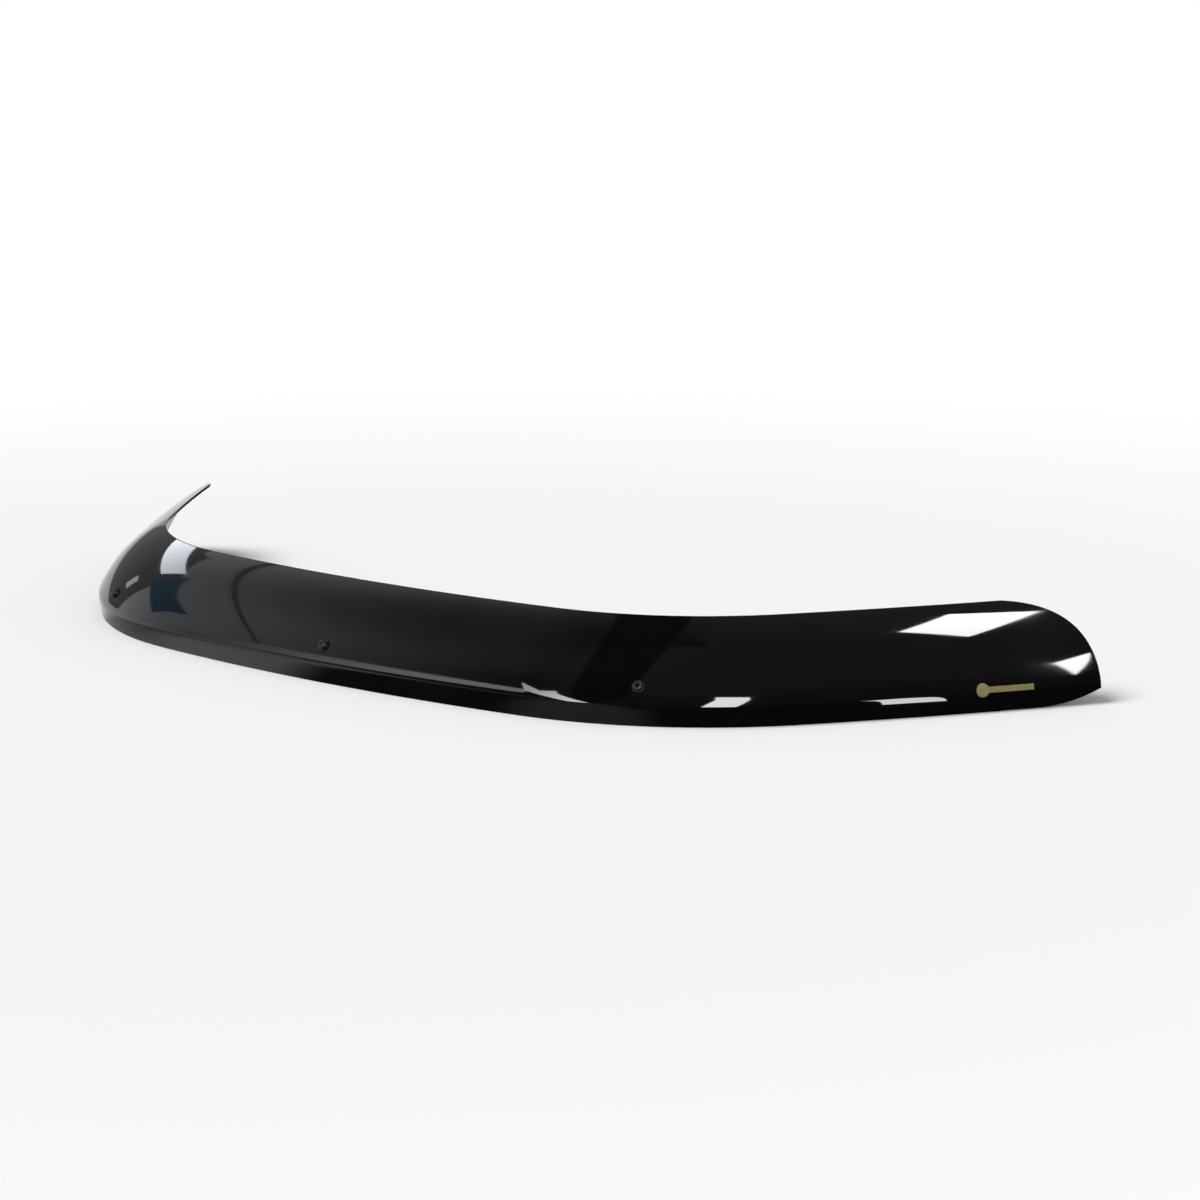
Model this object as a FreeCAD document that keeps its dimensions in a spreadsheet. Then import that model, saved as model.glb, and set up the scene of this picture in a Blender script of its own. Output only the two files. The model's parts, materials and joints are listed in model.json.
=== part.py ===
import FreeCAD, Part
import math
import os
import Sketcher
from FreeCAD import Vector

# A black wrap-around deflector: one thermoformed shield on three sprung steel brackets.
# Millimetres and degrees. +X is to the left of whoever sits behind the shield, the shield
# faces -Y and +Z is up. The origin is the middle of the centre bracket's bolt hole, on the
# upper face of its foot.

# Driving dimensions

SIZES = {
    # Plan line of the crown bend: a front arc, then a shoulder and a wing arc on each side
    "front_radius": 2208.0,
    "front_turn": 7.0,
    "shoulder_radius": 368.0,
    "shoulder_turn": 45.8,
    "wing_radius": 3278.0,
    "wing_turn": 5.8,
    # Section of the shield, the same all along
    "wall": 3.0,
    "crown_radius": 19.5,
    "panel_radius": 151.0,
    "panel_lean": 62.8,
    "panel_turn": 41.9,
    "lip_lean": 10.3,
    "lip_length": 16.2,
    "edge_chamfer": 0.8,
    # Rounded ends of the wings
    "end_length": 106.0,
    "end_overrun": 0.5,
    "lip_run": 70.0,
    "tip_depth": 3.3,
    # Places of the fixings
    "side_heading": 27.5,
    "fix_rise": 5.2,
    "foot_back": 22.0,
    "foot_drop": 9.3,
    "seat_gap": 0.1,
    "hole_radius": 3.25,
    # Bracket, bent from strip
    "strip_width": 24.0,
    "strip_thick": 2.0,
    "strip_bend": 4.0,
    "strip_corner": 4.0,
    "lip_gap": 6.0,
    "foot_tail": 18.0,
    "leg_above": 10.0,
    # Rubber pad on the foot
    "pad_length": 30.0,
    "pad_width": 20.0,
    "pad_thick": 2.0,
    "pad_hole_radius": 4.5,
    "pad_corner": 2.0,
    # Spacer between shield and bracket
    "spacer_thick": 4.0,
    "spacer_length": 14.0,
    "spacer_width": 14.0,
    # Screw, washer and lock nut
    "screw_radius": 3.0,
    "screw_length": 20.0,
    "head_radius": 5.25,
    "head_height": 3.3,
    "head_side": 1.3,
    "head_flat": 3.4,
    "socket_flats": 4.0,
    "socket_depth": 2.0,
    "thread_gap": 0.05,
    "washer_radius": 6.5,
    "washer_thick": 1.2,
    "nut_flats": 10.0,
    "nut_height": 5.0,
    "collar_radius": 4.4,
    "collar_height": 1.5,
    # Rubber buffers under the upper edge
    "buffer_rise": 34.4,
    "buffer_length": 18.0,
    "buffer_width": 10.0,
    "buffer_height": 5.0,
    "buffer_chamfer": 1.0,
    "buffer_front_heading": 5.0,
    "buffer_shoulder_heading": 40.0,
    "buffer_wing_heading": 54.5,
}


def fill_sheet(doc):
    sheet = doc.addObject("Spreadsheet::Sheet", "Sizes")
    for row, (name, value) in enumerate(SIZES.items(), start=1):
        sheet.set(f"A{row}", name)
        sheet.set(f"B{row}", str(value))
        sheet.setAlias(f"B{row}", name)
    doc.recompute()
    return sheet


doc = FreeCAD.newDocument("Deflector")
sheet = fill_sheet(doc)


def size(name):
    return float(sheet.get(name))


def turn(name):
    return math.radians(size(name))


# Bodies, sketches and features


def new_body(label):
    body = doc.addObject("PartDesign::Body", label)
    body.Label = label
    return body


def origin_plane(body, role):
    return next(o for o in body.Origin.OriginFeatures if o.Role == role)


def new_sketch(body, name, role, offset=None):
    sketch = body.newObject("Sketcher::SketchObject", name)
    sketch.AttachmentSupport = (origin_plane(body, role), [""])
    sketch.MapMode = "FlatFace"
    if offset:
        sketch.setExpression("AttachmentOffset", offset)
    return sketch


def line(sketch, start, end):
    return sketch.addGeometry(Part.LineSegment(Vector(*start, 0), Vector(*end, 0)), False)


def arc(sketch, centre, radius, start, end):
    circle = Part.Circle(Vector(*centre, 0), Vector(0, 0, 1), radius)
    return sketch.addGeometry(Part.ArcOfCircle(circle, start, end), False)


def rule(sketch, *terms):
    return sketch.addConstraint(Sketcher.Constraint(*terms))


def bound(sketch, name, expression, *terms):
    index = rule(sketch, *terms)
    sketch.renameConstraint(index, name)
    sketch.setExpression(f"Constraints.{name}", expression)


def circle_at_origin(sketch, radius, alias, name):
    circle = Part.Circle(Vector(0, 0, 0), Vector(0, 0, 1), radius)
    ring = sketch.addGeometry(circle, False)
    rule(sketch, "Coincident", ring, CENTRE, *ORIGIN)
    bound(sketch, name, alias, "Radius", ring, radius)
    return ring


def pad(body, name, sketch, length, middle=False, reverse=False, taper=None):
    feature = body.newObject("PartDesign::Pad", name)
    feature.Profile = sketch
    feature.SideType = "Symmetric" if middle else "One side"
    feature.Reversed = reverse
    feature.setExpression("Length", length)
    if taper:
        feature.setExpression("TaperAngle", taper)
    return feature


def pocket(body, name, sketch, length, middle=False, reverse=False):
    feature = body.newObject("PartDesign::Pocket", name)
    feature.Profile = sketch
    feature.SideType = "Symmetric" if middle else "One side"
    feature.Reversed = reverse
    feature.setExpression("Length", length)
    return feature


def cut_checked(body, feature, before):
    doc.recompute()
    after = feature.Shape.Volume
    if after > before or math.isclose(after, before):
        raise RuntimeError(f"{body.Label}: {feature.Label} cuts nothing")


# How a sketch numbers the points of a line or arc, and its own origin and axes

START, END, CENTRE = range(1, 4)
X_AXIS, Y_AXIS = range(-1, -3, -1)
ORIGIN = (X_AXIS, START)

# Places along the plan line, written as expressions of the sheet's cells

FRONT_END = "Sizes.front_turn"
SHOULDER_END = "(Sizes.front_turn + Sizes.shoulder_turn)"
WING_END = "(Sizes.front_turn + Sizes.shoulder_turn + Sizes.wing_turn)"
FRONT_STEP = "(Sizes.front_radius - Sizes.shoulder_radius)"
SHOULDER_STEP = "(Sizes.shoulder_radius - Sizes.wing_radius)"


def station(zone, heading, side):
    """Placement on the plan line where it has this heading: x along it, y inwards, z up."""
    across = {
        "front": f"Sizes.front_radius * sin({heading})",
        "shoulder": f"{FRONT_STEP} * sin({FRONT_END}) + Sizes.shoulder_radius * sin({heading})",
        "wing": f"{FRONT_STEP} * sin({FRONT_END}) + {SHOULDER_STEP} * sin({SHOULDER_END})"
        f" + Sizes.wing_radius * sin({heading})",
    }[zone]
    back = {
        "front": f"Sizes.front_radius * (1 - cos({heading}))",
        "shoulder": f"Sizes.front_radius - {FRONT_STEP} * cos({FRONT_END})"
        f" - Sizes.shoulder_radius * cos({heading})",
        "wing": f"Sizes.front_radius - {FRONT_STEP} * cos({FRONT_END})"
        f" - {SHOULDER_STEP} * cos({SHOULDER_END}) - Sizes.wing_radius * cos({heading})",
    }[zone]
    place = f"vector({side} * ({across}); {back}; 0)"
    return f"placement({place}; rotation(vector(0; 0; 1); {side} * {heading}))"


ROW = "placement(vector(0; -Sizes.foot_back; Sizes.foot_drop); rotation(vector(0; 0; 1); 0))"

STATIONS = {
    "centre": station("front", "0", 1),
    "left": station("shoulder", "Sizes.side_heading", 1),
    "right": station("shoulder", "Sizes.side_heading", -1),
}

BUFFER_STATIONS = {
    "front_left": station("front", "Sizes.buffer_front_heading", 1),
    "front_right": station("front", "Sizes.buffer_front_heading", -1),
    "shoulder_left": station("shoulder", "Sizes.buffer_shoulder_heading", 1),
    "shoulder_right": station("shoulder", "Sizes.buffer_shoulder_heading", -1),
    "wing_left": station("wing", "Sizes.buffer_wing_heading", 1),
    "wing_right": station("wing", "Sizes.buffer_wing_heading", -1),
}


def on_panel(rise, depth):
    """Placement in a station: z out of the panel, y up it, this far below its outer face."""
    lean = f"(Sizes.panel_lean - {rise})"
    reach = f"(Sizes.panel_radius - {depth})"
    offset = "(Sizes.panel_radius - Sizes.crown_radius)"
    back = f"{offset} * sin(Sizes.panel_lean) - {reach} * sin({lean})"
    up = f"{reach} * cos({lean}) - {offset} * cos(Sizes.panel_lean)"
    return f"placement(vector(0; {back}; {up}); rotation(vector(1; 0; 0); {lean}))"


def on_screw(depth):
    return on_panel("Sizes.fix_rise", depth)


def hollow(length, width):
    """How deep the panel's inner face curves away behind a flat block of this size."""
    inside = "(Sizes.panel_radius - Sizes.wall)"
    up = f"({inside} - sqrt({inside} ^ 2 - ({width} / 2) ^ 2))"
    along = f"(Sizes.shoulder_radius - sqrt(Sizes.shoulder_radius ^ 2 - ({length} / 2) ^ 2))"
    return f"{up} + {along}"


UNDER_SHIELD = f"Sizes.wall + Sizes.seat_gap + {hollow('Sizes.spacer_length', 'Sizes.spacer_width')}"
ON_LEG = f"{UNDER_SHIELD} + Sizes.spacer_thick"
UNDER_LEG = f"{ON_LEG} + Sizes.strip_thick"
OVER_SHIELD = "-Sizes.seat_gap - Sizes.washer_thick"
ON_FOOT = "placement(vector(0; Sizes.foot_back; -Sizes.foot_drop); rotation(vector(0; 0; 1); 0))"


# Shield


def section_points():
    """Centres and angles of the section: the crown bend's centre is the sketch's origin."""
    lip = math.pi + turn("lip_lean")
    start = math.pi / 2 + turn("panel_lean")
    end = start - turn("panel_turn")
    offset = size("panel_radius") - size("crown_radius")
    centre = (-offset * math.cos(start), -offset * math.sin(start))
    return lip, start, end, centre


def section_sketch(body):
    sketch = new_sketch(body, "ShieldSection", "YZ_Plane")
    lip, start, end, centre = section_points()
    wall = size("wall")
    crown = size("crown_radius")
    panel = size("panel_radius")
    length = size("lip_length")
    chamfer = size("edge_chamfer")
    slope = chamfer * math.sqrt(2)

    def around(middle, radius, angle):
        return (middle[0] + radius * math.cos(angle), middle[1] + radius * math.sin(angle))

    def down(point, distance):
        return (point[0] - distance * math.sin(lip), point[1] + distance * math.cos(lip))

    outer_lip = around((0, 0), crown, lip)
    inner_lip = around((0, 0), crown - wall, lip)
    outer_corner = down(around((0, 0), crown - chamfer, lip), length + chamfer)
    inner_corner = down(around((0, 0), crown - wall + chamfer, lip), length + chamfer)
    edge_angle = end - chamfer / panel
    outer_edge = around(centre, panel - chamfer, edge_angle)
    inner_edge = around(centre, panel - wall + chamfer, edge_angle)
    inner_end = edge_angle + chamfer / (panel - wall)

    lip_out = line(sketch, down(outer_lip, length), outer_lip)
    bend_out = arc(sketch, (0, 0), crown, start, lip)
    panel_out = arc(sketch, centre, panel, end, start)
    edge_out = line(sketch, around(centre, panel, end), outer_edge)
    edge = line(sketch, outer_edge, inner_edge)
    edge_in = line(sketch, inner_edge, around(centre, panel - wall, inner_end))
    panel_in = arc(sketch, centre, panel - wall, inner_end, start)
    bend_in = arc(sketch, (0, 0), crown - wall, start, lip)
    lip_in = line(sketch, inner_lip, down(inner_lip, length))
    lip_edge_in = line(sketch, down(inner_lip, length), inner_corner)
    lip_edge = line(sketch, inner_corner, outer_corner)
    lip_edge_out = line(sketch, outer_corner, down(outer_lip, length))

    rule(sketch, "Coincident", bend_out, CENTRE, *ORIGIN)
    rule(sketch, "Coincident", bend_in, CENTRE, *ORIGIN)
    rule(sketch, "Coincident", panel_in, CENTRE, panel_out, CENTRE)
    rule(sketch, "Tangent", lip_out, END, bend_out, END)
    rule(sketch, "Tangent", bend_out, START, panel_out, END)
    rule(sketch, "Coincident", panel_out, START, edge_out, START)
    rule(sketch, "Coincident", edge_out, END, edge, START)
    rule(sketch, "Coincident", edge, END, edge_in, START)
    rule(sketch, "Coincident", edge_in, END, panel_in, START)
    rule(sketch, "Tangent", panel_in, END, bend_in, START)
    rule(sketch, "Tangent", bend_in, END, lip_in, START)
    rule(sketch, "Coincident", lip_in, END, lip_edge_in, START)
    rule(sketch, "Coincident", lip_edge_in, END, lip_edge, START)
    rule(sketch, "Coincident", lip_edge, END, lip_edge_out, START)
    rule(sketch, "Coincident", lip_edge_out, END, lip_out, START)
    rule(sketch, "Parallel", lip_out, lip_in)
    rule(sketch, "Perpendicular", lip_edge, lip_out)
    rule(sketch, "PointOnObject", panel_out, CENTRE, edge)
    rule(sketch, "Equal", edge_out, edge_in)
    rule(sketch, "Equal", lip_edge_out, lip_edge_in)

    inside = "Sizes.crown_radius - Sizes.wall"
    flat = "Sizes.wall - 2 * Sizes.edge_chamfer"
    slope_rule = "Sizes.edge_chamfer * sqrt(2)"
    edge_reach = "Sizes.panel_radius - Sizes.edge_chamfer"
    bound(sketch, "crown", "Sizes.crown_radius", "Radius", bend_out, crown)
    bound(sketch, "crown_inside", inside, "Radius", bend_in, crown - wall)
    bound(sketch, "panel", "Sizes.panel_radius", "Radius", panel_out, panel)
    bound(sketch, "panel_span", "Sizes.panel_turn", "Angle", panel_out, start - end)
    bound(sketch, "bend_span", "90 + Sizes.lip_lean - Sizes.panel_lean", "Angle", bend_out, lip - start)
    bound(sketch, "lip_angle", "90 + Sizes.lip_lean", "Angle", lip_out, lip - math.pi / 2)
    bound(sketch, "lip", "Sizes.lip_length", "Distance", lip_out, length)
    bound(sketch, "edge_flat", flat, "Distance", edge, wall - 2 * chamfer)
    bound(sketch, "lip_flat", flat, "Distance", lip_edge, wall - 2 * chamfer)
    bound(sketch, "edge_slope", slope_rule, "Distance", edge_out, slope)
    bound(sketch, "lip_slope", slope_rule, "Distance", lip_edge_out, slope)
    bound(sketch, "edge_reach", edge_reach, "Distance", panel_out, CENTRE, edge, START, panel - chamfer)
    bound(sketch, "lip_inset", "Sizes.edge_chamfer", "Distance", lip_edge, END, lip_out, chamfer)
    return sketch


def plan_sketch(body):
    """Five tangent arcs in the plane of the crown bend, from wing tip to wing tip."""
    sketch = new_sketch(body, "ShieldPlan", "XY_Plane")
    front = size("front_radius")
    shoulder = size("shoulder_radius")
    wing = size("wing_radius")
    front_end = turn("front_turn")
    shoulder_end = front_end + turn("shoulder_turn")
    wing_end = shoulder_end + turn("wing_turn")
    bottom = -math.pi / 2

    shoulder_x = (front - shoulder) * math.sin(front_end)
    shoulder_y = front - (front - shoulder) * math.cos(front_end)
    wing_x = shoulder_x + (shoulder - wing) * math.sin(shoulder_end)
    wing_y = shoulder_y - (shoulder - wing) * math.cos(shoulder_end)

    left_wing = arc(sketch, (wing_x, wing_y), wing, bottom + shoulder_end, bottom + wing_end)
    left_shoulder = arc(sketch, (shoulder_x, shoulder_y), shoulder, bottom + front_end, bottom + shoulder_end)
    middle = arc(sketch, (0, front), front, bottom - front_end, bottom + front_end)
    right_shoulder = arc(sketch, (-shoulder_x, shoulder_y), shoulder, bottom - shoulder_end, bottom - front_end)
    right_wing = arc(sketch, (-wing_x, wing_y), wing, bottom - wing_end, bottom - shoulder_end)

    rule(sketch, "Symmetric", middle, START, middle, END, Y_AXIS)
    bound(sketch, "front", "Sizes.front_radius", "Radius", middle, front)
    bound(sketch, "front_centre", "Sizes.front_radius", "DistanceY", *ORIGIN, middle, CENTRE, front)
    bound(sketch, "front_span", "2 * Sizes.front_turn", "Angle", middle, 2 * front_end)
    rule(sketch, "Tangent", middle, END, left_shoulder, START)
    rule(sketch, "Tangent", left_shoulder, END, left_wing, START)
    rule(sketch, "Tangent", middle, START, right_shoulder, END)
    rule(sketch, "Tangent", right_shoulder, START, right_wing, END)
    for side, near, far in (("left", left_shoulder, left_wing), ("right", right_shoulder, right_wing)):
        bound(sketch, f"{side}_shoulder", "Sizes.shoulder_radius", "Radius", near, shoulder)
        bound(sketch, f"{side}_shoulder_span", "Sizes.shoulder_turn", "Angle", near, shoulder_end - front_end)
        bound(sketch, f"{side}_wing", "Sizes.wing_radius", "Radius", far, wing)
        bound(sketch, f"{side}_wing_span", "Sizes.wing_turn", "Angle", far, wing_end - shoulder_end)
    return sketch


PANEL_REACH = (
    "((Sizes.panel_radius - Sizes.crown_radius) * sin(Sizes.panel_lean)"
    " - Sizes.panel_radius * sin(Sizes.panel_lean - Sizes.panel_turn))"
)


def panel_reach():
    """How far the upper edge lies inwards of the crown bend's centre."""
    offset = size("panel_radius") - size("crown_radius")
    edge = turn("panel_lean") - turn("panel_turn")
    return offset * math.sin(turn("panel_lean")) - size("panel_radius") * math.sin(edge)


def end_sketch(body, wing_tip):
    """Seen from above: everything outside a quarter ellipse that rounds the wing's upper edge."""
    sketch = new_sketch(body, "WingEnd", "XY_Plane", wing_tip)
    crown = size("crown_radius")
    length = size("end_length")
    past = size("end_overrun")
    reach = panel_reach() + size("wall") + past
    margin = 4 * crown
    centre = Vector(-length, -crown, 0)
    top = (-length, reach)
    outer = reach + margin

    ellipse = Part.Ellipse(Vector(past, -crown, 0), Vector(-length, reach, 0), centre)
    quarter = sketch.addGeometry(Part.ArcOfEllipse(ellipse, 0, math.pi / 2), False)
    left = line(sketch, top, (top[0], outer))
    upper = line(sketch, (top[0], outer), (margin, outer))
    right = line(sketch, (margin, outer), (margin, -crown))
    lower = line(sketch, (margin, -crown), (past, -crown))
    rule(sketch, "Coincident", quarter, END, left, START)
    rule(sketch, "Coincident", left, END, upper, START)
    rule(sketch, "Coincident", upper, END, right, START)
    rule(sketch, "Coincident", right, END, lower, START)
    rule(sketch, "Coincident", lower, END, quarter, START)
    rule(sketch, "Vertical", left)
    rule(sketch, "Horizontal", upper)
    rule(sketch, "Vertical", right)
    rule(sketch, "Horizontal", lower)
    rule(sketch, "Vertical", quarter, CENTRE, quarter, END)
    rule(sketch, "Horizontal", quarter, CENTRE, quarter, START)
    reach_rule = f"{PANEL_REACH} + Sizes.wall + Sizes.end_overrun"
    bound(sketch, "past_end", "Sizes.end_overrun", "DistanceX", *ORIGIN, quarter, START, past)
    bound(sketch, "length", "Sizes.end_length", "DistanceX", quarter, CENTRE, *ORIGIN, length)
    bound(sketch, "crown_line", "Sizes.crown_radius", "DistanceY", quarter, START, *ORIGIN, crown)
    bound(sketch, "reach", reach_rule, "DistanceY", *ORIGIN, quarter, END, reach)
    bound(sketch, "margin_up", "4 * Sizes.crown_radius", "DistanceY", left, START, left, END, margin)
    bound(sketch, "margin_out", "4 * Sizes.crown_radius", "DistanceX", *ORIGIN, right, START, margin)
    return sketch


def lip_end_sketch(body, wing_tip):
    """Seen along the wing's inward normal: the space below an arc that runs the lip out."""
    turn_up = "placement(vector(0; 0; 0); rotation(vector(1; 0; 0); 90))"
    sketch = new_sketch(body, "LipEnd", "XY_Plane", f"{wing_tip} * {turn_up}")
    run = size("lip_run")
    depth = size("lip_length") + size("crown_radius") * math.sin(turn("lip_lean"))
    tip = size("tip_depth")
    rise = depth - tip
    radius = (run * run + rise * rise) / (2 * rise)
    sweep = math.asin(run / radius)
    bottom = -math.pi / 2
    start = (-run, -depth)
    low = -depth - size("crown_radius")

    curve = arc(sketch, (start[0], start[1] + radius), radius, bottom, bottom + sweep)
    outer = line(sketch, (0, -tip), (size("crown_radius"), -tip))
    right = line(sketch, (size("crown_radius"), -tip), (size("crown_radius"), low))
    lower = line(sketch, (size("crown_radius"), low), (-run, low))
    left = line(sketch, (-run, low), start)
    rule(sketch, "Coincident", curve, END, outer, START)
    rule(sketch, "Coincident", outer, END, right, START)
    rule(sketch, "Coincident", right, END, lower, START)
    rule(sketch, "Coincident", lower, END, left, START)
    rule(sketch, "Coincident", left, END, curve, START)
    rule(sketch, "Horizontal", outer)
    rule(sketch, "Vertical", right)
    rule(sketch, "Horizontal", lower)
    rule(sketch, "Vertical", left)
    rule(sketch, "Vertical", curve, START, curve, CENTRE)
    rule(sketch, "PointOnObject", curve, END, Y_AXIS)
    reach = "Sizes.lip_length + Sizes.crown_radius * sin(Sizes.lip_lean)"
    bound(sketch, "run", "Sizes.lip_run", "DistanceX", curve, START, curve, END, run)
    bound(sketch, "depth", reach, "DistanceY", curve, START, *ORIGIN, depth)
    bound(sketch, "tip", "Sizes.tip_depth", "DistanceY", curve, END, *ORIGIN, tip)
    bound(sketch, "past_tip", "Sizes.crown_radius", "DistanceX", *ORIGIN, right, START, size("crown_radius"))
    bound(sketch, "below", "Sizes.crown_radius", "DistanceY", left, START, left, END, size("crown_radius"))
    return sketch


def make_shield():
    body = new_body("shield")
    body.setExpression("Placement", ROW)
    section = section_sketch(body)
    plan = plan_sketch(body)
    sweep = body.newObject("PartDesign::AdditivePipe", "ShieldSweep")
    sweep.Profile = section
    sweep.Spine = (plan, [])
    sweep.Mode = "Frenet"
    doc.recompute()
    full = sweep.Shape.Volume

    wing_tip = station("wing", WING_END, 1)
    end_cut = pocket(body, "WingEndCut", end_sketch(body, wing_tip), "4 * Sizes.panel_radius", middle=True)
    cut_checked(body, end_cut, full)
    trimmed = end_cut.Shape.Volume
    lip_cut = pocket(body, "LipEndCut", lip_end_sketch(body, wing_tip), "8 * Sizes.crown_radius", middle=True)
    cut_checked(body, lip_cut, trimmed)
    mirrored = body.newObject("PartDesign::Mirrored", "OtherWing")
    mirrored.Originals = [end_cut, lip_cut]
    mirrored.MirrorPlane = (origin_plane(body, "YZ_Plane"), [""])
    body.Tip = mirrored
    cut_checked(body, mirrored, lip_cut.Shape.Volume)

    for name, place in STATIONS.items():
        before = body.Tip.Shape.Volume
        sketch = new_sketch(body, f"ScrewHole_{name}", "XY_Plane", f"{place} * {on_screw('0')}")
        circle_at_origin(sketch, size("hole_radius"), "Sizes.hole_radius", "hole")
        hole = pocket(body, f"ScrewCut_{name}", sketch, "4 * Sizes.wall", middle=True)
        cut_checked(body, hole, before)
    return body


# Brackets


def under_shield():
    """Depth of the spacer's outer face, whose corners clear the panel's hollow inner face."""
    inside = size("panel_radius") - size("wall")
    up = inside - math.sqrt(inside**2 - (size("spacer_width") / 2) ** 2)
    plan = size("shoulder_radius")
    along = plan - math.sqrt(plan**2 - (size("spacer_length") / 2) ** 2)
    return size("wall") + size("seat_gap") + up + along


def strip_path(body):
    """Middle line of the strip, from the foot's tail to the top of the leg."""
    sketch = new_sketch(body, "StripPath", "YZ_Plane")
    radius = size("strip_bend")
    half = size("strip_thick") / 2
    lean = turn("panel_lean") - turn("fix_rise")
    depth = under_shield() + size("spacer_thick") + half
    offset = size("panel_radius") - size("crown_radius")
    reach = size("panel_radius") - depth
    screw = (
        offset * math.sin(turn("panel_lean")) - reach * math.sin(lean),
        reach * math.cos(lean) - offset * math.cos(turn("panel_lean")),
    )
    along = (math.cos(lean), math.sin(lean))
    rise_x = size("wall") - size("crown_radius") + size("lip_gap") + half
    foot_y = -size("foot_drop") - half
    tail = size("foot_back") + size("foot_tail")
    corner_y = screw[1] - (screw[0] - rise_x) * math.tan(lean)
    bend = math.pi / 2 - lean
    trim = radius * math.tan(bend / 2)
    top = (screw[0] + size("leg_above") * along[0], screw[1] + size("leg_above") * along[1])
    leg_start = (rise_x + trim * along[0], corner_y + trim * along[1])

    foot = line(sketch, (tail, foot_y), (rise_x + radius, foot_y))
    heel = arc(sketch, (rise_x + radius, foot_y + radius), radius, math.pi, 1.5 * math.pi)
    rise = line(sketch, (rise_x, foot_y + radius), (rise_x, corner_y - trim))
    knee = arc(sketch, (rise_x + radius, corner_y - trim), radius, math.pi - bend, math.pi)
    leg = line(sketch, leg_start, top)

    rule(sketch, "Tangent", foot, END, heel, END)
    rule(sketch, "Tangent", heel, START, rise, START)
    rule(sketch, "Tangent", rise, END, knee, END)
    rule(sketch, "Tangent", knee, START, leg, START)
    rule(sketch, "Horizontal", foot)
    rule(sketch, "Vertical", rise)

    leaning = "(Sizes.panel_lean - Sizes.fix_rise)"
    stack = f"({ON_LEG} + Sizes.strip_thick / 2)"
    around = "(Sizes.panel_radius - Sizes.crown_radius)"
    top_back = (
        f"{around} * sin(Sizes.panel_lean) - (Sizes.panel_radius - {stack}) * sin({leaning})"
        f" + Sizes.leg_above * cos({leaning})"
    )
    top_up = (
        f"(Sizes.panel_radius - {stack}) * cos({leaning}) - {around} * cos(Sizes.panel_lean)"
        f" + Sizes.leg_above * sin({leaning})"
    )
    rise_back = "Sizes.wall - Sizes.crown_radius + Sizes.lip_gap + Sizes.strip_thick / 2"
    tail_back = "Sizes.foot_back + Sizes.foot_tail"
    foot_low = "Sizes.foot_drop + Sizes.strip_thick / 2"
    bound(sketch, "heel", "Sizes.strip_bend", "Radius", heel, radius)
    bound(sketch, "knee", "Sizes.strip_bend", "Radius", knee, radius)
    bound(sketch, "tail", tail_back, "DistanceX", *ORIGIN, foot, START, tail)
    bound(sketch, "low", foot_low, "DistanceY", foot, START, *ORIGIN, -foot_y)
    bound(sketch, "rise", rise_back, "DistanceX", *ORIGIN, rise, START, rise_x)
    bound(sketch, "lean", leaning, "Angle", leg, lean)
    bound(sketch, "top_back", top_back, "DistanceX", *ORIGIN, leg, END, top[0])
    bound(sketch, "top_up", top_up, "DistanceY", *ORIGIN, leg, END, top[1])
    return sketch


def strip_section(body):
    """Cross-section of the strip at the foot's tail."""
    back = "-(Sizes.foot_back + Sizes.foot_tail)"
    low = "-(Sizes.foot_drop + Sizes.strip_thick / 2)"
    place = f"placement(vector(0; {low}; {back}); rotation(vector(0; 0; 1); 0))"
    sketch = new_sketch(body, "StripSection", "XZ_Plane", place)
    rectangle(sketch, size("strip_width"), size("strip_thick"), "Sizes.strip_width", "Sizes.strip_thick")
    return sketch


def rectangle(sketch, wide, deep, wide_alias, deep_alias):
    corners = [(-wide / 2, -deep / 2), (wide / 2, -deep / 2), (wide / 2, deep / 2), (-wide / 2, deep / 2)]
    sides = [line(sketch, corners[i], corners[(i + 1) % 4]) for i in range(4)]
    for i in range(4):
        rule(sketch, "Coincident", sides[i], END, sides[(i + 1) % 4], START)
    rule(sketch, "Horizontal", sides[0])
    rule(sketch, "Vertical", sides[1])
    rule(sketch, "Horizontal", sides[2])
    rule(sketch, "Vertical", sides[3])
    rule(sketch, "Symmetric", sides[0], START, sides[2], START, *ORIGIN)
    bound(sketch, "wide", wide_alias, "DistanceX", sides[0], START, sides[0], END, wide)
    bound(sketch, "deep", deep_alias, "DistanceY", sides[1], START, sides[1], END, deep)


def round_corners(body, name, edges, radius):
    base = body.Tip
    fillet = body.newObject("PartDesign::Fillet", name)
    fillet.Base = (base, edges)
    fillet.setExpression("Radius", radius)
    doc.recompute()
    return fillet


def chamfer_edges(body, name, edges, width):
    base = body.Tip
    chamfer = body.newObject("PartDesign::Chamfer", name)
    chamfer.Base = (base, edges)
    chamfer.setExpression("Size", width)
    doc.recompute()
    return chamfer


def corner_edges(shape, length, directions):
    """Names of the two straight edges of this length that lie furthest out in each direction."""
    short = []
    for number, edge in enumerate(shape.Edges, start=1):
        straight = edge.Curve.TypeId == "Part::GeomLine"
        if straight and math.isclose(edge.Length, length):
            short.append((f"Edge{number}", edge.CenterOfMass))
    names = []
    for direction in directions:
        short.sort(key=lambda item: item[1].dot(direction), reverse=True)
        names += [name for name, middle in short[:2]]
    return names


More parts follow.
